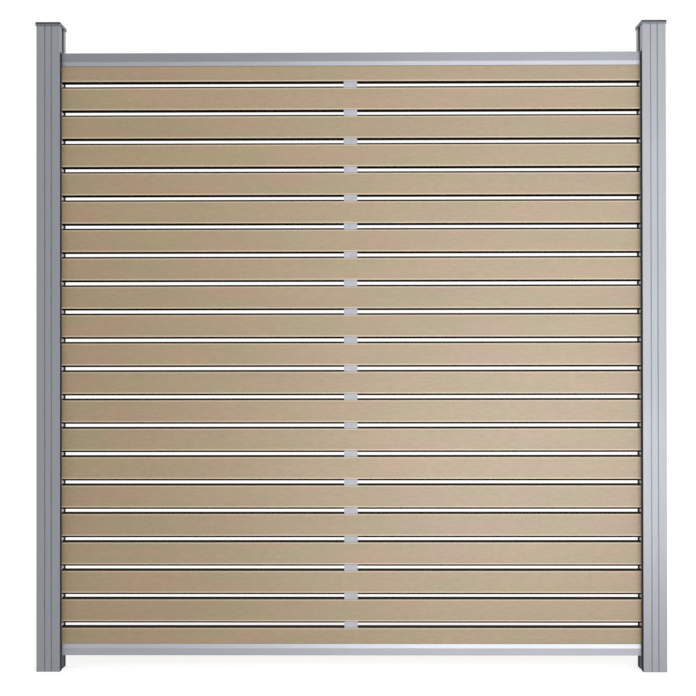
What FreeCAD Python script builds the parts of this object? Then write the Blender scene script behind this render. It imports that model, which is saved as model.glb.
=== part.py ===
"""Garden privacy screen: slats stacked between two slotted aluminium posts.

Millimetres, +Z up. X runs along the screen, its front faces -Y, and the origin is on the
ground at the middle of the screen. Both posts are the same extrusion, turned by half a turn.
"""
import FreeCAD, Part
import math
import os

import Sketcher

# Driving dimensions, in millimetres unless the note says otherwise.
DRIVING = {
    # The panel
    "clear_width": (1730, "between the inner faces of the posts"),
    "ground_clearance": (44, "from the ground to the underside of the lower rail"),
    "slat_count": (21, "number of slats"),
    "slat_height": (76, "height of a slat"),
    "slat_thickness": (20, "thickness of a slat"),
    "slat_gap": (9, "open gap between the edges of two slats"),
    "slat_bevel": (5.5, "45 degree bevel along each long edge of a slat"),
    "slat_wall": (4.5, "wall of a slat and of its inner webs"),
    "slat_end_gap": (3, "room for a slat to grow, at each end"),
    # The posts
    "post_size": (70, "side of the square post"),
    "post_wall": (2.5, "outer wall of a post"),
    "post_edge_radius": (1.5, "rounding of a post's four long edges"),
    "post_headroom": (83, "from the top of the upper rail to the top of a post"),
    "slot_depth": (26, "depth of the slot in a post's inner face"),
    "slot_side_gap": (1, "between a slat's face and the side of the slot"),
    "slot_wall": (2, "wall round the slot, inside the post"),
    "groove_width": (3.5, "width of a decorative groove"),
    "groove_depth": (1.2, "depth of a decorative groove"),
    "groove_offset": (10, "from the middle of a post's face to a groove's middle"),
    "port_radius": (2.1, "core radius of a screw port, for a 5 mm thread"),
    "port_wall": (2.4, "wall of a screw port"),
    "port_bite": (0.5, "how far a screw port runs into the post's walls"),
    # The rails
    "rail_lip": (4.7, "thickness of a rail's lip beside the slat"),
    "rail_side_gap": (0.3, "between a slat's face and a rail's lip"),
    "lower_face_height": (21.5, "height of the lower rail's flat face"),
    "upper_face_height": (26.5, "height of the upper rail's flat face"),
    "rail_bevel_height": (12, "height of a rail's bevel"),
    "rail_bevel_depth": (3.5, "how far a rail's bevel falls back at its edge"),
    "lower_seat_height": (10, "from the lower rail's underside to the slat in it"),
    "upper_seat_height": (14, "from the upper rail's top to the slat in it"),
    "rail_web": (2, "web that closes a rail's chamber"),
    "rail_end_gap": (1, "between a rail's end and the post"),
    # The connectors between the rails and the posts
    "connector_length": (60, "length of a rail connector"),
    "connector_reach": (20, "how far a rail connector enters the post's slot"),
    "connector_play": (0.4, "height that a connector leaves free in its chamber"),
    "fit_gap": (0.3, "from an inner piece to the side of the slot"),
    # The spacers
    "centre_spacer_width": (40, "length of a centre spacer along the slats"),
    "centre_spacer_inset": (0.4, "from the slat's face back to the spacer's nose"),
    "end_spacer_length": (22, "length of an end spacer into the slot"),
    "slot_mouth_inset": (0.5, "from the slot's mouth back to what fills it"),
    "nose_gap": (0.2, "between a spacer's nose and a slat's bevel"),
    # The support blocks
    "block_length": (24, "length of a support block into the slot"),
    "drain_width": (9, "width of the drain notch under a support block"),
    "drain_height": (6, "height of the drain notch under a support block"),
    # The post caps
    "cap_overhang": (2.2, "how far a cap stands out past the post's faces"),
    "cap_plate": (5, "thickness of a cap above the post"),
    "cap_skirt": (5, "depth of a cap's skirt down the post"),
    "cap_gap": (0.2, "between the cap and the post"),
    "cap_bevel": (1.6, "bevel round the cap's top"),
    "tongue_length": (24, "length of a cap's tongue"),
    "tongue_width": (20, "width of a cap's tongue"),
    "tongue_thickness": (2.2, "thickness of a cap's tongue"),
    # The rail screws
    "screw_radius": (2.5, "radius of a rail screw's shank"),
    "screw_length": (7, "length of a rail screw below its head"),
    "screw_head_radius": (4.5, "radius of a rail screw's head"),
    "screw_head_height": (2.4, "height of a rail screw's head"),
    "screw_hole_gap": (0.1, "round a rail screw's shank"),
    "screw_from_end": (18, "from a rail's end to its screw"),
    "drive_radius": (1.7, "across the corners of a screw's hexagon drive, halved"),
    "drive_depth": (1.2, "depth of a screw's hexagon drive"),
}

SHEET = "Sizes"
SLAT_CHAMBERS = 3
HEXAGON = 6


class Size:
    """A length with the spreadsheet expression that it comes from."""

    def __init__(self, value, text=None):
        self.value = float(value)
        self.text = text or repr(float(value))

    def combine(self, other, sign, value):
        return Size(value, f"({self.text} {sign} {other.text})")

    def __add__(self, other):
        other = as_size(other)
        return self.combine(other, "+", self.value + other.value)

    def __sub__(self, other):
        other = as_size(other)
        return self.combine(other, "-", self.value - other.value)

    def __mul__(self, other):
        other = as_size(other)
        return self.combine(other, "*", self.value * other.value)

    def __truediv__(self, other):
        other = as_size(other)
        return self.combine(other, "/", self.value / other.value)

    def __neg__(self):
        return as_size(0) - self

    __radd__ = __add__
    __rmul__ = __mul__


def as_size(number):
    return number if isinstance(number, Size) else Size(number)


class Sizes:
    """The driving dimensions, and the lengths that follow from them."""

    def __init__(self, sheet):
        for alias in DRIVING:
            setattr(self, alias, Size(sheet.get(alias), f"{SHEET}.{alias}"))
        # Slats and gaps
        self.slat_pitch = self.slat_height + self.slat_gap
        self.slat_length = self.clear_width + 2 * (self.slot_depth - self.slat_end_gap)
        self.slat_flat = self.slat_thickness / 2 - self.slat_bevel
        self.first_slat = self.ground_clearance + self.lower_seat_height
        self.stack_top = self.first_slat + (self.slat_count - 1) * self.slat_pitch + self.slat_height
        # Rails
        self.rail_half_depth = self.slat_thickness / 2 + self.rail_side_gap + self.rail_lip
        self.rail_length = self.clear_width - 2 * self.rail_end_gap
        self.upper_rail_top = self.stack_top + self.upper_seat_height
        # Posts
        self.post_half = self.post_size / 2
        self.post_length = self.upper_rail_top + self.post_headroom
        self.post_centre = self.clear_width / 2 + self.post_half
        self.slot_half = self.slat_thickness / 2 + self.slot_side_gap
        self.chamber_half = self.post_half - self.post_wall
        self.slot_back = self.post_half - self.slot_depth
        self.port_outer = self.port_radius + self.port_wall
        self.port_offset = self.chamber_half + self.port_bite - self.port_outer
        # Pieces that fill the slot
        self.filler_half = self.slot_half - self.fit_gap
        self.filler_start = self.clear_width / 2 + self.slot_mouth_inset
        # Screws, measured along X from the middle of the screen
        self.screw_place = self.rail_length / 2 - self.screw_from_end


def make_sheet(doc):
    """Write the driving dimensions into the document's spreadsheet."""
    sheet = doc.addObject("Spreadsheet::Sheet", SHEET)
    for row, (alias, (value, note)) in enumerate(DRIVING.items(), start=1):
        sheet.set(f"A{row}", alias)
        sheet.set(f"B{row}", str(value))
        sheet.set(f"C{row}", note)
        sheet.setAlias(f"B{row}", alias)
    doc.recompute()
    return sheet


def bind(item, path, size):
    """Tie a property to its expression, or set it where it is a plain number."""
    if isinstance(size, Size):
        item.setExpression(path, size.text)
    else:
        setattr(item, path, size)


# Bodies, sketches and features

def origin_item(body, role):
    return next(item for item in body.Origin.OriginFeatures if item.Role == role)


def new_body(label):
    body = document.addObject("PartDesign::Body", label)
    body.Label = label
    return body


def new_sketch(body, plane, name):
    sketch = body.newObject("Sketcher::SketchObject", f"{body.Label}_{name}")
    sketch.AttachmentSupport = (origin_item(body, plane), [""])
    sketch.MapMode = "FlatFace"
    return sketch


def constrain(sketch, constraint, size):
    """Add a dimension to a sketch and tie it to its expression."""
    place = sketch.addConstraint(constraint)
    if isinstance(size, Size):
        sketch.setExpression(f"Constraints[{place}]", size.text)


def hold_point(sketch, edge, point, across, up):
    """Hold a point of a sketch at its two distances from the sketch's origin."""
    for kind, size in (("DistanceX", across), ("DistanceY", up)):
        value = as_size(size).value
        constrain(sketch, Sketcher.Constraint(kind, -1, 1, edge, point, value), size)


def draw_outline(sketch, corners):
    """Draw a closed outline of straight edges through the corners."""
    first = sketch.GeometryCount
    count = len(corners)
    spots = [FreeCAD.Vector(as_size(x).value, as_size(y).value, 0) for x, y in corners]
    for index in range(count):
        edge = Part.LineSegment(spots[index], spots[(index + 1) % count])
        sketch.addGeometry(edge, False)
    for index in range(count):
        follower = first + (index + 1) % count
        sketch.addConstraint(Sketcher.Constraint("Coincident", first + index, 2, follower, 1))
    for index, (across, up) in enumerate(corners):
        hold_point(sketch, first + index, 1, across, up)


def box_outline(left, right, low, high):
    return [(left, low), (right, low), (right, high), (left, high)]


def draw_rectangle(sketch, left, right, low, high):
    draw_outline(sketch, box_outline(left, right, low, high))


def draw_circle(sketch, across, up, radius):
    centre = FreeCAD.Vector(as_size(across).value, as_size(up).value, 0)
    up_axis = FreeCAD.Vector(0, 0, 1)
    edge = sketch.addGeometry(Part.Circle(centre, up_axis, as_size(radius).value), False)
    hold_point(sketch, edge, 3, across, up)
    constrain(sketch, Sketcher.Constraint("Radius", edge, as_size(radius).value), radius)


def extrude(body, kind, sketch, length, reverse=False, symmetric=False):
    """Pad or pocket a sketch by a length."""
    feature = body.newObject(f"PartDesign::{kind}", f"{sketch.Name}_{kind.lower()}")
    feature.Profile = sketch
    feature.Reversed = reverse
    if symmetric:
        feature.SideType = "Symmetric"
    bind(feature, "Length", length)
    sketch.Visibility = False
    document.recompute()
    return feature


def extrude_along_x(body, name, outlines, length):
    """Pad a section of several outlines in the YZ plane, half to each side of X = 0."""
    sketch = new_sketch(body, "YZ_Plane", name)
    for corners in outlines:
        draw_outline(sketch, corners)
    return extrude(body, "Pad", sketch, length, symmetric=True)


def dress_edges(body, kind, base, size, wanted):
    """Fillet or chamfer the edges of a feature that a test picks out."""
    names = [f"Edge{number}" for number, edge in enumerate(base.Shape.Edges, start=1) if wanted(edge)]
    feature = body.newObject(f"PartDesign::{kind}", f"{body.Label}_{kind.lower()}")
    feature.Base = (base, names)
    bind(feature, "Radius" if kind == "Fillet" else "Size", size)
    document.recompute()
    return feature


def place(item, x=0, y=0, z=0, axis=(0, 0, 1), turn=0):
    """Put a sub-part in the screen's frame."""
    spot = FreeCAD.Vector(*(as_size(size).value for size in (x, y, z)))
    item.Placement = FreeCAD.Placement(spot, FreeCAD.Rotation(FreeCAD.Vector(*axis), turn))
    for name, size in (("x", x), ("y", y), ("z", z)):
        if isinstance(size, Size):
            item.setExpression(f"Placement.Base.{name}", size.text)


# Sub-parts

def groove_corners(middle, face, step_in, step_along):
    """The four corners of a groove, in the order in which the outline runs."""
    near = middle - step_along
    far = middle + step_along
    return [(near, face), (near, face + step_in), (far, face + step_in), (far, face)]


def post_corners():
    """A post's outer outline, anticlockwise from its front left corner, slot towards +X."""
    half = size.post_half
    along = size.groove_width / 2
    corners = [(-half, -half)]
    for middle in (-size.groove_offset, size.groove_offset):
        corners += groove_corners(middle, -half, size.groove_depth, along)
    corners += [(half, -half), (half, -size.slot_half), (size.slot_back, -size.slot_half)]
    corners += [(size.slot_back, size.slot_half), (half, size.slot_half), (half, half)]
    for middle in (size.groove_offset, -size.groove_offset):
        corners += groove_corners(middle, half, -size.groove_depth, -along)
    corners.append((-half, half))
    return corners


def chamber_corners():
    """The post's hollow, which wraps round the slot."""
    reach = size.chamber_half
    side = size.slot_half + size.slot_wall
    back = size.slot_back - size.slot_wall
    return [(-reach, -reach), (reach, -reach), (reach, -side), (back, -side),
            (back, side), (reach, side), (reach, reach), (-reach, reach)]


def is_post_edge(edge):
    """True for one of the four long outer edges of a post."""
    ends = [vertex.Point for vertex in edge.Vertexes]
    upright = len(ends) == 2 and abs(ends[0].z - ends[1].z) > size.post_size.value
    corner = size.post_half.value
    return upright and all(math.isclose(abs(part), corner) for part in (ends[0].x, ends[0].y))


def build_post(label, side):
    """A slotted post. side is -1 for the left one, whose slot faces +X, and 1 for the right."""
    body = new_body(label)
    section = new_sketch(body, "XY_Plane", "section")
    draw_outline(section, post_corners())
    draw_outline(section, chamber_corners())
    shell = extrude(body, "Pad", section, size.post_length)
    dress_edges(body, "Fillet", shell, size.post_edge_radius, is_post_edge)

    offset = size.port_offset
    ports = [(x, y) for x in (-offset, offset) for y in (-offset, offset)]
    bosses = new_sketch(body, "XY_Plane", "port_walls")
    bores = new_sketch(body, "XY_Plane", "port_bores")
    for x, y in ports:
        draw_circle(bosses, x, y, size.port_outer)
        draw_circle(bores, x, y, size.port_radius)
    extrude(body, "Pad", bosses, size.post_length)
    extrude(body, "Pocket", bores, size.post_length, reverse=True)
    place(body, x=size.post_centre * side, turn=90 * (side + 1))
    return body


def is_cap_top_edge(edge):
    """True for an edge that lies in the plane of the cap's top."""
    top = size.cap_plate.value
    return all(math.isclose(vertex.Z, top) for vertex in edge.Vertexes)


def build_cap(label, side):
    """A post cap: plate, skirt round the post, and four tongues down inside it."""
    body = new_body(label)
    outer = size.post_half + size.cap_overhang
    inner = size.post_half + size.cap_gap
    plate = new_sketch(body, "XY_Plane", "plate")
    draw_rectangle(plate, -outer, outer, -outer, outer)
    top = extrude(body, "Pad", plate, size.cap_plate)
    dress_edges(body, "Chamfer", top, size.cap_bevel, is_cap_top_edge)

    skirt = new_sketch(body, "XY_Plane", "skirt")
    draw_rectangle(skirt, -outer, outer, -outer, outer)
    draw_rectangle(skirt, -inner, inner, -inner, inner)
    extrude(body, "Pad", skirt, size.cap_skirt, reverse=True)

    tongues = new_sketch(body, "XY_Plane", "tongues")
    along = size.tongue_width / 2
    far = size.chamber_half - size.cap_gap
    near = far - size.tongue_thickness
    slot_side = size.slot_back - size.slot_wall - size.cap_gap
    draw_rectangle(tongues, -along, along, -far, -near)
    draw_rectangle(tongues, -along, along, near, far)
    draw_rectangle(tongues, -far, -near, -along, along)
    draw_rectangle(tongues, slot_side - size.tongue_thickness, slot_side, -along, along)
    extrude(body, "Pad", tongues, size.tongue_length, reverse=True)
    place(body, x=size.post_centre * side, z=size.post_length, turn=90 * (side + 1))
    return body


def slat_outlines():
    """A slat's bevelled section and its chambers, with the section's foot at Z = 0."""
    half = size.slat_thickness / 2
    flat = size.slat_flat
    bevel = size.slat_bevel
    high = size.slat_height
    shoulder = high - bevel
    outlines = [[(-flat, 0), (flat, 0), (half, bevel), (half, shoulder),
                 (flat, high), (-flat, high), (-half, shoulder), (-half, bevel)]]
    inner = half - size.slat_wall
    chamber = (high - size.slat_wall * (SLAT_CHAMBERS + 1)) / SLAT_CHAMBERS
    for number in range(SLAT_CHAMBERS):
        low = size.slat_wall + (chamber + size.slat_wall) * number
        outlines.append(box_outline(-inner, inner, low, low + chamber))
    return outlines


def build_slat(number):
    """Slat 0 stands in the lower rail, and the last one is closed by the upper rail."""
    body = new_body(f"slat_{number + 1:02d}")
    extrude_along_x(body, "section", slat_outlines(), size.slat_length)
    place(body, z=size.first_slat + size.slat_pitch * number)
    return body


def rail_outlines(seat, shoulder):
    """A rail's section with its back at Z = 0 and its lips upwards, and its chamber."""
    half = size.rail_half_depth
    recess = size.slat_thickness / 2 + size.rail_side_gap
    rim = shoulder + size.rail_bevel_height
    edge = half - size.rail_bevel_depth
    shell = [(-half, 0), (half, 0), (half, shoulder), (edge, rim), (recess, rim), (recess, seat),
             (-recess, seat), (-recess, rim), (-edge, rim), (-half, shoulder)]
    web = size.rail_web
    chamber = box_outline(-size.slot_half, size.slot_half, web, seat - web)
    return [shell, chamber]


def build_rail(label, seat, face_height):
    """A U-shaped rail with a closed chamber behind its seat, and two screw holes."""
    body = new_body(label)
    extrude_along_x(body, "section", rail_outlines(seat, face_height), size.rail_length)
    holes = new_sketch(body, "XY_Plane", "screw_holes")
    for x in (-size.screw_place, size.screw_place):
        draw_circle(holes, x, 0, size.screw_radius + size.screw_hole_gap)
    extrude(body, "Pocket", holes, size.rail_web, reverse=True)
    return body


def connector_height(seat):
    return seat - 2 * size.rail_web - size.connector_play


def build_connector(label, side, seat, low):
    """A flat bar that reaches from a rail's chamber into the post's slot."""
    body = new_body(label)
    tip = size.clear_width / 2 + size.connector_reach
    bar = new_sketch(body, "XY_Plane", "bar")
    draw_rectangle(bar, tip - size.connector_length, tip, -size.filler_half, size.filler_half)
    extrude(body, "Pad", bar, connector_height(seat))
    hole = new_sketch(body, "XY_Plane", "screw_hole")
    draw_circle(hole, size.screw_place, 0, size.screw_radius + size.screw_hole_gap)
    extrude(body, "Pocket", hole, connector_height(seat), reverse=True)
    place(body, z=low, turn=90 * (1 - side))
    return body


def spacer_outline(nose):
    """An hourglass that fills a gap between two slats and the bevels beside it."""
    waist = size.slat_gap / 2
    flat = size.slat_flat
    spread = waist + nose - flat - size.nose_gap
    return [(-nose, -spread), (-flat, -waist), (flat, -waist), (nose, -spread),
            (nose, spread), (flat, waist), (-flat, waist), (-nose, spread)]


def gap_middle(number):
    """The height of the middle of a gap, counted from the lowest one."""
    return size.first_slat + size.slat_pitch * (number + 1) - size.slat_gap / 2


def build_centre_spacer(number):
    body = new_body(f"centre_spacer_{number + 1:02d}")
    nose = size.slat_thickness / 2 - size.centre_spacer_inset
    extrude_along_x(body, "section", [spacer_outline(nose)], size.centre_spacer_width)
    place(body, z=gap_middle(number))
    return body


def build_end_spacers(label, side):
    """The spacers in one post's slot, one at each gap."""
    body = new_body(label)
    spacer = extrude_along_x(body, "section", [spacer_outline(size.filler_half)],
                             size.end_spacer_length)
    stack = body.newObject("PartDesign::LinearPattern", f"{label}_stack")
    stack.Originals = [spacer]
    stack.Direction = (origin_item(body, "Z_Axis"), [""])
    stack.setExpression("Occurrences", (size.slat_count - 1).text)
    stack.setExpression("Length", ((size.slat_count - 2) * size.slat_pitch).text)
    body.Tip = stack
    document.recompute()
    middle = size.filler_start + size.end_spacer_length / 2
    place(body, x=middle * side, z=gap_middle(0))
    return body


def build_support_block(label, side, height):
    """The block that stands in a post's slot on the ground and carries a connector."""
    body = new_body(label)
    block = new_sketch(body, "YZ_Plane", "section")
    half = size.filler_half
    drain = size.drain_width / 2
    draw_outline(block, [(-half, 0), (-drain, 0), (-drain, size.drain_height),
                         (drain, size.drain_height), (drain, 0), (half, 0),
                         (half, height), (-half, height)])
    extrude(body, "Pad", block, size.block_length, symmetric=True)
    middle = size.filler_start + size.block_length / 2
    place(body, x=middle * side)
    return body


def build_rail_screws(label):
    """Two screws that enter a rail's back at Z = 0, one near each end, heads below it."""
    body = new_body(label)
    head = new_sketch(body, "XY_Plane", "heads")
    shank = new_sketch(body, "XY_Plane", "shanks")
    drive = new_sketch(body, "XY_Plane", "drives")
    for x in (-size.screw_place, size.screw_place):
        draw_circle(head, x, 0, size.screw_head_radius)
        draw_circle(shank, x, 0, size.screw_radius)
        angles = [math.tau * corner / HEXAGON for corner in range(HEXAGON)]
        draw_outline(drive, [(x + size.drive_radius * math.cos(angle),
                              size.drive_radius * math.sin(angle)) for angle in angles])
    drive.setExpression("AttachmentOffset.Base.z", (-size.screw_head_height).text)
    extrude(body, "Pad", head, size.screw_head_height, reverse=True)
    extrude(body, "Pad", shank, size.screw_length)
    extrude(body, "Pocket", drive, size.drive_depth, reverse=True)
    return body


def build_screen():
    """Make every sub-part in its place and return them."""
    parts = []
    upper_low = size.upper_rail_top - size.upper_seat_height + size.rail_web
    lower_low = size.first_slat - size.rail_web - connector_height(size.lower_seat_height)
    for name, side in (("left", -1), ("right", 1)):
        parts.append(build_post(f"post_{name}", side))
        parts.append(build_cap(f"cap_{name}", side))
        parts.append(build_support_block(f"support_block_{name}", side, lower_low))
        parts.append(build_end_spacers(f"end_spacers_{name}", side))
        parts.append(build_connector(f"rail_connector_lower_{name}", side,
                                     size.lower_seat_height, lower_low))
        parts.append(build_connector(f"rail_connector_upper_{name}", side,
                                     size.upper_seat_height, upper_low))

    lower = [build_rail("rail_lower", size.lower_seat_height, size.lower_face_height),
             build_rail_screws("rail_screws_lower")]
    upper = [build_rail("rail_upper", size.upper_seat_height, size.upper_face_height),
             build_rail_screws("rail_screws_upper")]
    for body in lower:
        place(body, z=size.ground_clearance)
    for body in upper:
        place(body, z=size.upper_rail_top, axis=(1, 0, 0), turn=180)
    parts += lower + upper

    count = int(size.slat_count.value)
    parts += [build_slat(number) for number in range(count)]
    parts += [build_centre_spacer(number) for number in range(count - 1)]
    return parts


def check_and_write(parts):
    """Stop on a failed object or shape, then write one file for each sub-part."""
    document.recompute()
    for item in document.Objects:
        if {"Invalid", "Error"} & set(item.State):
            raise RuntimeError(f"{item.Label} failed: {item.State}")
    for body in parts:
        if body.Shape.isNull() or not body.Shape.isValid():
            raise RuntimeError(f"{body.Label} has no valid shape")
    os.makedirs("parts", exist_ok=True)
    for body in parts:
        body.Shape.exportStep(f"parts/{body.Label}.step")
    print(f"{len(parts)} sub-parts written")


document = FreeCAD.newDocument("garden_privacy_screen")
size = Sizes(make_sheet(document))
check_and_write(build_screen())
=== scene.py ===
"""Looks for the garden privacy screen: materials, soft edges, camera, floor and studio light.

Metres, +Z up, the front faces -Y. The object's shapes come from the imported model.
"""

import math
from functools import partial

import bpy
from mathutils import Matrix, Vector


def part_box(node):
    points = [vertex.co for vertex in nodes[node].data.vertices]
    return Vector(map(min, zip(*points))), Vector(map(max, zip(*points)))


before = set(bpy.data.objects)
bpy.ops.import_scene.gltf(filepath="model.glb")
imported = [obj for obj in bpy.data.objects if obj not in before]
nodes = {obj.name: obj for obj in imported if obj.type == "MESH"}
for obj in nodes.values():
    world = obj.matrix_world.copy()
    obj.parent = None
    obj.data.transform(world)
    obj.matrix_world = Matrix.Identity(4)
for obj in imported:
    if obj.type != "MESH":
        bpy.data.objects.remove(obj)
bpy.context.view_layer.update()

IMAGE_WIDTH = 696
FOCAL_PIXELS = 1135.0
SENSOR_WIDTH = 36.0
CAMERA_PLACE = (0.0185, -3.4028, 0.9433)
CAMERA_ANGLES = (0.450, 0.291, -0.075)      # yaw, pitch and roll in degrees
WHITE = (1.0, 1.0, 1.0, 1.0)


# Node trees

class Tree:
    """A short way to add nodes to a tree and to link them."""

    def __init__(self, owner):
        owner.use_nodes = True
        self.tree = owner.node_tree
        self.tree.nodes.clear()

    def node(self, kind, inputs=None, **settings):
        """Add a node. An input is a plain value, or the output socket of another node."""
        item = self.tree.nodes.new("ShaderNode" + kind)
        for name, value in settings.items():
            setattr(item, name, value)
        for name, value in (inputs or {}).items():
            if isinstance(value, bpy.types.NodeSocket):
                self.tree.links.new(value, item.inputs[name])
            else:
                item.inputs[name].default_value = value
        return item

    def link(self, output, target):
        self.tree.links.new(output, target)

    def math(self, operation, first, second=0.0):
        return self.node("Math", {0: first, 1: second}, operation=operation).outputs[0]

    def noise(self, scale, detail=3.0, roughness=0.5):
        """A noise of about 0 to 1, with so many waves in a metre along each axis."""
        source = self.node("TexCoord").outputs["Object"]
        stretched = self.node("Mapping", {"Vector": source, "Scale": scale}).outputs["Vector"]
        inputs = {"Vector": stretched, "Scale": 1.0, "Detail": detail, "Roughness": roughness}
        return self.node("TexNoise", inputs).outputs["Fac"]

    def spread(self, value, low, high, to_low=0.0, to_high=1.0):
        """Map low..high to to_low..to_high, and hold it there."""
        inputs = {"Value": value, "From Min": low, "From Max": high,
                  "To Min": to_low, "To Max": to_high}
        return self.node("MapRange", inputs).outputs["Result"]

    def vary(self, noise, to_low=0.0, to_high=1.0):
        """Map the range that a noise mostly has to to_low..to_high."""
        return self.spread(noise, 0.3, 0.7, to_low, to_high)

    def mix(self, factor, first, second, blend="MIX"):
        """Mix two colours."""
        item = self.node("Mix", data_type="RGBA", blend_type=blend)
        for name, value in (("Factor_Float", factor), ("A_Color", first), ("B_Color", second)):
            socket = next(s for s in item.inputs if s.identifier == name)
            if isinstance(value, bpy.types.NodeSocket):
                self.link(value, socket)
            else:
                socket.default_value = value
        return next(s for s in item.outputs if s.identifier == "Result_Color")

    def place(self):
        """X, Y and Z of a point, in metres."""
        return self.node("SeparateXYZ", {0: self.node("TexCoord").outputs["Object"]}).outputs

    def normal(self):
        """X, Y and Z of the direction in which the surface faces."""
        return self.node("SeparateXYZ", {0: self.node("NewGeometry").outputs["Normal"]}).outputs

    def shaded(self, colour, gain):
        """A colour times a number."""
        grey = self.node("CombineColor", {0: gain, 1: gain, 2: gain}).outputs[0]
        return self.mix(1.0, colour, grey, blend="MULTIPLY")


def new_material(name):
    material = bpy.data.materials.new(name)
    return material, Tree(material)


def finish_material(tree, inputs):
    shader = tree.node("BsdfPrincipled", inputs)
    output = tree.node("OutputMaterial")
    tree.link(shader.outputs["BSDF"], output.inputs["Surface"])


# Materials

SLAT_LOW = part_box("slat_01")[0].z
SLAT_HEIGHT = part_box("slat_01")[1].z - SLAT_LOW
SLAT_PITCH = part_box("slat_02")[0].z - SLAT_LOW
POST_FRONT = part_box("post_right")[1].y
POST_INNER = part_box("post_right")[0].x
RAIL_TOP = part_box("rail_upper")[1].z
CAP_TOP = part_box("cap_right")[1].z

# A slat's sand colour lies between two tints. A painted highlight along each bevel of its face fades
# out between two distances from the slat's edge.
SAND_TINTS = ((0.249, 0.153, 0.073, 1), (0.219, 0.163, 0.063, 1))
SAND_DEPTHS = {"clouds": 0.05, "grain": 0.12, "fine": 0.07}
HIGHLIGHT_FADE = (0.0088, 0.0096)
LOWER_PAINTED_HIGHLIGHT = 0.6
UPPER_PAINTED_HIGHLIGHT = 0.4
PAINTED_HIGHLIGHT_COLOUR = (0.56, 0.44, 0.32, 1)
# Painted shade: the bevels and narrow edges in the gaps between slats, partly their darker unbrushed
# colour, are painted near black, and upward bevels a little lighter as light falls on them.
EDGE_SHADE_COLOUR = (0.008, 0.006, 0.004, 1)
LIT_UPPER_BEVEL_COLOUR = (0.030, 0.022, 0.015, 1)

# Aluminium. A groove's floor lies at least GROOVE_DEPTH behind the post's face, and painted shade
# beside a post's slot lies at most SLOT_SIDE_DEPTH behind the post's inner face.
METALLIC = 0.65
SPECULAR = 0.5
DRAWN_UPWARDS = (650, 650, 6)   # waves in a metre of the lines left by drawing
DRAWN_ALONG = (6, 650, 650)
NOT_DRAWN = (500, 500, 500)
GROOVE_DEPTH = 0.0004
# Painted shade on the floor of a post's grooves, darker than the post's face.
GROOVE_SHADE_COLOUR = (0.150, 0.157, 0.170, 1)
SLOT_SIDE_DEPTH = 0.0006
# Painted shade beside a post's slot, from the foot to the top of the upper rail.
SLOT_SIDE_SHADE_COLOUR = (0.062, 0.066, 0.076, 1)
# Painted light: how much lighter the bevelled lips of each rail are painted.
UPPER_LIP_PAINTED_LIGHT = 1.42
LOWER_LIP_PAINTED_LIGHT = 1.10
CAP_RIM_HEIGHT = 0.0052
CAP_RIM_COLOUR = (0.012, 0.013, 0.016, 1)


def brushed_colour(tree, fine, grain):
    """Sand colour with clouds and grain, a little different on each slat, and painted highlights by the
    bevels.
    """
    clouds = tree.noise((2.4, 7, 14), detail=3.0)
    tint = tree.noise((4.2, 11, 22), detail=3.0)
    row = tree.math("DIVIDE", tree.math("SUBTRACT", tree.place()["Z"], SLAT_LOW), SLAT_PITCH)
    slat_number = tree.math("FLOOR", row)
    up_slat = tree.math("MULTIPLY", tree.math("FRACT", row), SLAT_PITCH)
    one_slat = tree.node("TexWhiteNoise", {"W": slat_number}, noise_dimensions="1D").outputs["Value"]

    colour = tree.mix(tree.spread(tint, 0.38, 0.62), *SAND_TINTS)
    shade = tree.spread(one_slat, 0, 1, 0.97, 1.03)
    for layer, noise in (("clouds", clouds), ("grain", grain), ("fine", fine)):
        depth = SAND_DEPTHS[layer]
        shade = tree.math("MULTIPLY", shade, tree.vary(noise, 1 - depth, 1 + depth))

    # Painted highlight: a pale stripe along each bevel, stronger by the lower one.
    start, end = HIGHLIGHT_FADE
    lower_highlight = tree.spread(up_slat, start, end, LOWER_PAINTED_HIGHLIGHT, 0)
    upper_highlight = tree.spread(up_slat, SLAT_HEIGHT - end, SLAT_HEIGHT - start, 0, UPPER_PAINTED_HIGHLIGHT)
    bevel_highlight = tree.math("MAXIMUM", lower_highlight, upper_highlight)
    return tree.mix(bevel_highlight, tree.shaded(colour, shade), PAINTED_HIGHLIGHT_COLOUR)


def wood_plastic():
    """Brushed sand-coloured faces, and bevels and narrow edges in painted shade, partly their darker
    unbrushed colour, painted a little lighter on upward bevels where light falls.
    """
    material, tree = new_material("wood_plastic_brushed")
    fine = tree.noise((16, 700, 950), detail=4.0, roughness=0.6)
    grain = tree.noise((40, 90, 150), detail=4.0, roughness=0.65)

    normal = tree.normal()
    facing = tree.math("ABSOLUTE", normal["Y"])
    face = tree.spread(facing, 0.80, 0.93)
    # Painted shade on the bevels and edges, lighter on upward bevels as painted light from above.
    upwards = tree.spread(normal["Z"], 0.3, 0.6)
    lit_upper_bevel = tree.math("MULTIPLY", upwards, tree.spread(facing, 0.3, 0.6))
    edge_shade = tree.mix(lit_upper_bevel, EDGE_SHADE_COLOUR, LIT_UPPER_BEVEL_COLOUR)
    colour = tree.mix(face, edge_shade, brushed_colour(tree, fine, grain))

    relief = tree.math("ADD", tree.math("MULTIPLY", fine, 0.6), tree.math("MULTIPLY", grain, 0.4))
    bump = tree.node("Bump", {"Height": relief, "Strength": 0.35, "Distance": 0.0006})
    finish_material(tree, {"Base Color": colour, "Roughness": tree.vary(fine, 0.44, 0.56),
                           "Normal": bump.outputs["Normal"], "IOR": 1.60,
                           "Specular IOR Level": face})
    return material


def groove_mask(tree, place, normal):
    """1 on the floor of a post's grooves."""
    facing = tree.math("GREATER_THAN", tree.math("ABSOLUTE", normal["Y"]), 0.9)
    behind = tree.math("LESS_THAN", tree.math("ABSOLUTE", place["Y"]), POST_FRONT - GROOVE_DEPTH)
    return tree.math("MULTIPLY", facing, behind)


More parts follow.
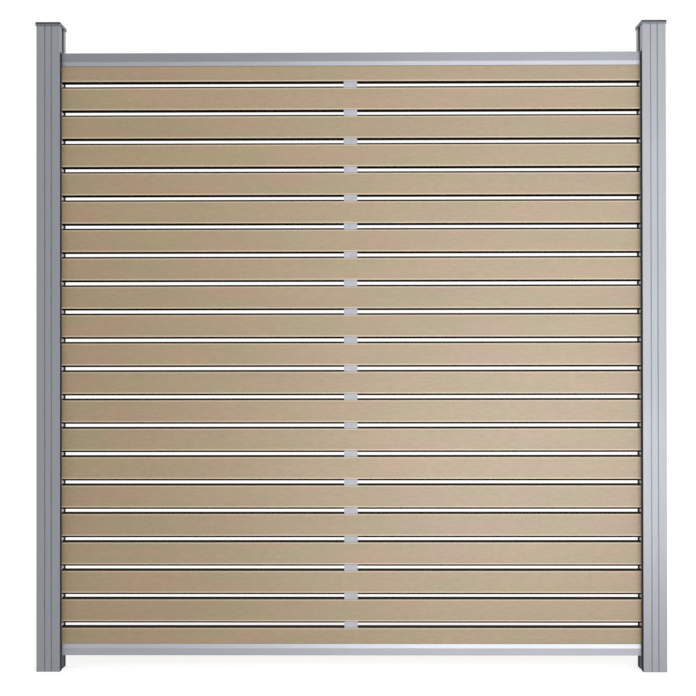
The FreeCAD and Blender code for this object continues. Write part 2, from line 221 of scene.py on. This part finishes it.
def slot_side_shade_mask(tree, place, normal):
    """1 beside a post's slot, from the foot to the top of the upper rail, where shade is painted."""
    facing = tree.math("GREATER_THAN", tree.math("ABSOLUTE", normal["X"]), 0.8)
    inside = tree.math("LESS_THAN", tree.math("ABSOLUTE", place["X"]), POST_INNER + SLOT_SIDE_DEPTH)
    below = tree.math("LESS_THAN", place["Z"], RAIL_TOP)
    return tree.math("MULTIPLY", tree.math("MULTIPLY", facing, inside), below)


def post_finish(tree, colour):
    """Paint shade on a post's grooves, and dark dull painted shade beside its slot."""
    place = tree.place()
    normal = tree.normal()
    slot_side_shade = slot_side_shade_mask(tree, place, normal)
    # Painted shade in the grooves.
    colour = tree.mix(groove_mask(tree, place, normal), colour, GROOVE_SHADE_COLOUR)
    # Painted shade beside the slot: dark, dull and without gloss.
    colour = tree.mix(slot_side_shade, colour, SLOT_SIDE_SHADE_COLOUR)
    return colour, tree.spread(slot_side_shade, 0, 1, METALLIC, 0), tree.spread(slot_side_shade, 0, 1, SPECULAR, 0)


def rail_finish(tree, colour, lip_painted_light):
    """Lighten the bevelled lips of a rail with painted light."""
    tilt = tree.math("ABSOLUTE", tree.normal()["Z"])
    lip = tree.math("MULTIPLY", tree.spread(tilt, 0.12, 0.2), tree.spread(tilt, 0.5, 0.6, 1, 0))
    return tree.shaded(colour, tree.spread(lip, 0, 1, 1, lip_painted_light)), METALLIC, SPECULAR


def cap_finish(tree, colour):
    """Darken the rim of a cap's plate."""
    plate = tree.math("GREATER_THAN", tree.place()["Z"], CAP_TOP - CAP_RIM_HEIGHT)
    rim = tree.math("MULTIPLY", plate, tree.math("LESS_THAN", tree.normal()["Z"], 0.85))
    return tree.mix(rim, colour, CAP_RIM_COLOUR), METALLIC, SPECULAR


def aluminium(name, stretch, base, rough, finish):
    """Matt anodised aluminium with fine drawing lines, and what its piece's own finish adds."""
    material, tree = new_material(name)
    lines = tree.noise(stretch, detail=3.0, roughness=0.6)
    haze = tree.noise((3, 9, 3), detail=2.0)
    low = tuple(channel * 0.95 for channel in base) + (1,)
    high = tuple(channel * 1.05 for channel in base) + (1,)
    colour = tree.mix(tree.vary(lines), low, high)
    colour, metallic, specular = finish(tree, colour)
    roughness = tree.math("ADD", tree.vary(lines, *rough), tree.vary(haze, 0, 0.04))
    bump = tree.node("Bump", {"Height": lines, "Strength": 0.12, "Distance": 0.0002})
    finish_material(tree, {"Base Color": colour, "Metallic": metallic, "Roughness": roughness,
                           "Specular IOR Level": specular, "Normal": bump.outputs["Normal"]})
    return material


def plastic(name, low, high, specular=SPECULAR):
    """Moulded plastic between two colours, with a fine spark-eroded grain."""
    material, tree = new_material(name)
    grain = tree.noise((1500, 1500, 1500), detail=2.0)
    clouds = tree.noise((35, 35, 35), detail=2.0)
    colour = tree.mix(tree.vary(clouds), low + (1,), high + (1,))
    bump = tree.node("Bump", {"Height": grain, "Strength": 0.2, "Distance": 0.0002})
    finish_material(tree, {"Base Color": colour, "Roughness": tree.vary(grain, 0.42, 0.52),
                           "Specular IOR Level": specular, "Normal": bump.outputs["Normal"]})
    return material


def stainless():
    """Plain stainless steel for the screws."""
    material, tree = new_material("stainless_steel")
    haze = tree.noise((900, 900, 900), detail=2.0)
    colour = tree.mix(tree.vary(haze), (0.42, 0.42, 0.41, 1), (0.50, 0.50, 0.49, 1))
    finish_material(tree, {"Base Color": colour, "Metallic": 1.0,
                           "Roughness": tree.vary(haze, 0.25, 0.36)})
    return material


slat_material = wood_plastic()
post_material = aluminium("aluminium_post", DRAWN_UPWARDS, (0.234, 0.244, 0.264), (0.38, 0.46), post_finish)
# The two rails are one aluminium in painted light: darker on the upper rail, lighter on the lower rail.
shaded_upper_rail_material = aluminium("aluminium_upper_rail_shaded", DRAWN_ALONG, (0.202, 0.210, 0.227), (0.36, 0.42),
                                partial(rail_finish, lip_painted_light=UPPER_LIP_PAINTED_LIGHT))
lit_lower_rail_material = aluminium("aluminium_lower_rail_lit", DRAWN_ALONG, (0.305, 0.320, 0.347), (0.38, 0.44),
                                partial(rail_finish, lip_painted_light=LOWER_LIP_PAINTED_LIGHT))
cap_material = aluminium("aluminium_cap", NOT_DRAWN, (0.13, 0.14, 0.155), (0.36, 0.44), cap_finish)
grey_plastic = plastic("moulded_grey_plastic", (0.33, 0.34, 0.385), (0.39, 0.40, 0.445))
pale_plastic = plastic("moulded_pale_plastic", (0.76, 0.73, 0.68), (0.82, 0.79, 0.74))
dark_plastic = plastic("moulded_dark_plastic", (0.052, 0.055, 0.063), (0.066, 0.070, 0.080), specular=0.1)
screw_material = stainless()

# In both tables the first prefix that fits a piece's name counts.
FINISHES = {
    "slat_": slat_material,
    "post_": post_material,
    "rail_screws": screw_material,
    "rail_upper": shaded_upper_rail_material,
    "rail_": lit_lower_rail_material,
    "cap_": cap_material,
    "centre_spacer": grey_plastic,
    "end_spacers": pale_plastic,
    "support_block": dark_plastic,
}
SOFT_EDGES = {"slat_": 0.0006, "rail_lower": 0.0004, "rail_upper": 0.0004, "centre_spacer": 0.0004,
              "end_spacers": 0.0004, "support_block": 0.0004}


def first_match(table, name):
    return next((value for prefix, value in table.items() if name.startswith(prefix)), None)


def soften_edges(piece, width):
    """Weld the imported triangles and round the hard edges a little."""
    weld = piece.modifiers.new("weld", "WELD")
    weld.merge_threshold = 0.00001
    bevel = piece.modifiers.new("soft_edges", "BEVEL")
    bevel.width = width
    bevel.segments = 2
    bevel.limit_method = "ANGLE"
    bevel.angle_limit = math.radians(30)


for name, piece in nodes.items():
    piece.data.materials.clear()
    piece.data.materials.append(first_match(FINISHES, name))
    edge_width = first_match(SOFT_EDGES, name)
    if edge_width:
        soften_edges(piece, edge_width)


# Camera, at the photograph's viewing angle

def photo_camera():
    yaw, pitch, roll = (math.radians(angle) for angle in CAMERA_ANGLES)
    data = bpy.data.cameras.new("photo_camera")
    data.sensor_width = SENSOR_WIDTH
    data.lens = FOCAL_PIXELS * SENSOR_WIDTH / IMAGE_WIDTH
    camera = bpy.data.objects.new("photo_camera", data)
    turn = Matrix.Rotation(yaw, 4, "Z") @ Matrix.Rotation(math.pi / 2 + pitch, 4, "X")
    camera.matrix_world = Matrix.Translation(CAMERA_PLACE) @ turn @ Matrix.Rotation(roll, 4, "Z")
    bpy.context.scene.collection.objects.link(camera)
    bpy.context.scene.camera = camera


# Floor, backdrop and light

def seen_directly(tree):
    """1 for rays that the camera, a gloss or a clear surface sends out, and 0 for soft light."""
    path = tree.node("LightPath").outputs
    gloss = tree.math("MAXIMUM", path["Is Glossy Ray"], path["Is Transmission Ray"])
    return tree.math("MAXIMUM", path["Is Camera Ray"], gloss)


def white_world(strength):
    """White behind the object, and an even soft light of the given strength."""
    world = bpy.data.worlds.new("studio")
    bpy.context.scene.world = world
    tree = Tree(world)
    level = tree.spread(seen_directly(tree), 0, 1, strength, 1.0)
    background = tree.node("Background", {"Color": WHITE, "Strength": level})
    output = tree.node("OutputWorld")
    tree.link(background.outputs[0], output.inputs["Surface"])


def pale_floor(size, near, far):
    """A plain pale floor that keeps the object's shadow and turns white with distance.

    near and far each give a distance from the object's middle and the floor's glow there.
    """
    mesh = bpy.data.meshes.new("floor")
    half = size / 2
    corners = [(-half, -half, 0), (half, -half, 0), (half, half, 0), (-half, half, 0)]
    mesh.from_pydata(corners, [], [(0, 1, 2, 3)])
    floor = bpy.data.objects.new("floor", mesh)
    bpy.context.scene.collection.objects.link(floor)
    material, tree = new_material("pale_floor")
    diffuse = tree.node("BsdfDiffuse", {"Color": (0.8, 0.8, 0.8, 1)})
    place = tree.node("TexCoord").outputs["Object"]
    distance = tree.node("VectorMath", {0: place}, operation="LENGTH").outputs["Value"]
    glow = tree.spread(distance, near[0], far[0], near[1], far[1])
    level = tree.math("MULTIPLY", seen_directly(tree), glow)
    light = tree.node("Emission", {"Color": WHITE, "Strength": level})
    total = tree.node("AddShader")
    tree.link(diffuse.outputs[0], total.inputs[0])
    tree.link(light.outputs[0], total.inputs[1])
    output = tree.node("OutputMaterial")
    tree.link(total.outputs[0], output.inputs["Surface"])
    mesh.materials.append(material)


def soft_lamp(name, place, target, width, height, power):
    """A rectangular soft lamp turned towards a point."""
    data = bpy.data.lights.new(name, "AREA")
    data.shape = "RECTANGLE"
    data.size = width
    data.size_y = height
    data.energy = power
    lamp = bpy.data.objects.new(name, data)
    lamp.location = place
    lamp.rotation_euler = (Vector(target) - Vector(place)).to_track_quat("-Z", "Y").to_euler()
    bpy.context.scene.collection.objects.link(lamp)


photo_camera()
white_world(0.45)
pale_floor(60.0, near=(1.5, 0.49), far=(5.0, 0.66))
soft_lamp("key", (1.5, -3.9, 1.55), (0.35, 0, 0.95), 2.6, 3.0, 79)
soft_lamp("top", (-0.35, -1.6, 4.4), (-0.1, 0, 1.2), 1.8, 1.0, 40)
soft_lamp("low", (0.6, -2.2, 0.3), (0.4, 0, 0.2), 1.6, 0.4, 14)
soft_lamp("back", (0.3, 2.6, 4.0), (0, 0, 1.1), 2.6, 1.4, 40)

bpy.context.scene.view_settings.view_transform = "Standard"
